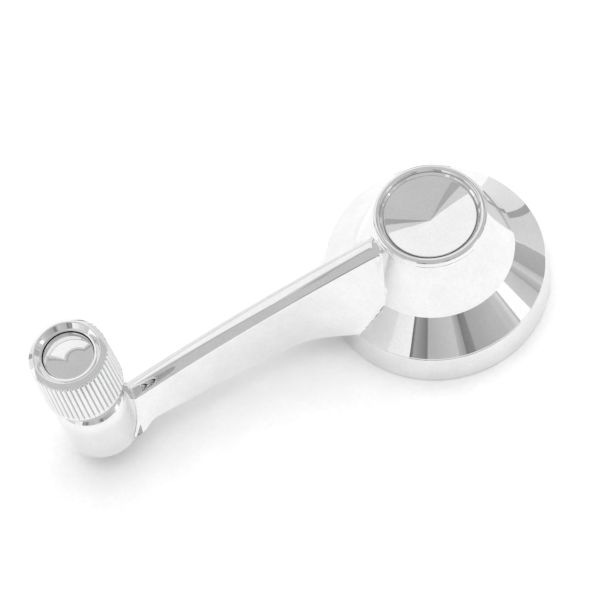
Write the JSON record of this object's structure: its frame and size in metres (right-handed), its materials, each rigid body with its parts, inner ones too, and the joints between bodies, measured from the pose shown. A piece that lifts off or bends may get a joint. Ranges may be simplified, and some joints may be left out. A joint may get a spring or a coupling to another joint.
{
  "type": "window crank handle",
  "caption": "Chromed window winder crank: dished conical hub on an escutcheon ring, tapering arm, and a fluted knob that turns on a pin.",
  "frame": {"origin": "on the spindle's axis, in the plane of the door panel that the escutcheon's foot rests on", "axes": "+Z along the spindle away from the door; the arm points along -X at rest, and the knob's axis is parallel to Z"},
  "size_m": [0.1563, 0.0692, 0.0574],
  "materials": {
    "chrome_on_zinc": "bright chromium plate on a polished zinc casting",
    "chrome_on_brass": "bright chromium plate on pressed or turned brass",
    "zinc_plated_steel": "zinc plated, turned",
    "spring_steel": "blued and oiled",
    "natural_nylon": "moulded",
    "black_moulding": "moulded",
    "black_rubber": "moulded, matt",
    "sintered_bronze": "sintered, oiled"
  },
  "bodies": {
    "escutcheon": {"escutcheon_ring": "chrome_on_zinc", "rim_gasket": "black_rubber", "friction_ring": "natural_nylon"},
    "crank": {"crank_casting": "chrome_on_zinc", "spline_insert": "zinc_plated_steel", "hub_screw": "zinc_plated_steel", "hub_lock_washer": "spring_steel", "hub_plain_washer": "zinc_plated_steel", "hub_cap": "chrome_on_brass", "cap_snap_ring": "spring_steel", "neck_circlip": "spring_steel", "neck_washer": "natural_nylon", "escutcheon_spring": "spring_steel", "knob_pin": "zinc_plated_steel", "rivet_washer": "zinc_plated_steel", "thrust_washer": "natural_nylon"},
    "knob": {"knob_sleeve": "chrome_on_brass", "knob_core": "black_moulding", "knob_bush": "sintered_bronze", "knob_plain_washer": "zinc_plated_steel", "knob_wave_washer": "spring_steel", "knob_cap": "chrome_on_brass"}
  },
  "joints": [
    {"name": "crank_turn", "type": "hinge", "parent": "escutcheon", "child": "crank", "pos_m": [0, 0, 0], "axis": [0, 0, 1], "continuous": true},
    {"name": "knob_spin", "type": "hinge", "parent": "crank", "child": "knob", "pos_m": [-0.11, 0, 0.0376], "axis": [0, 0, 1], "continuous": true}
  ]
}
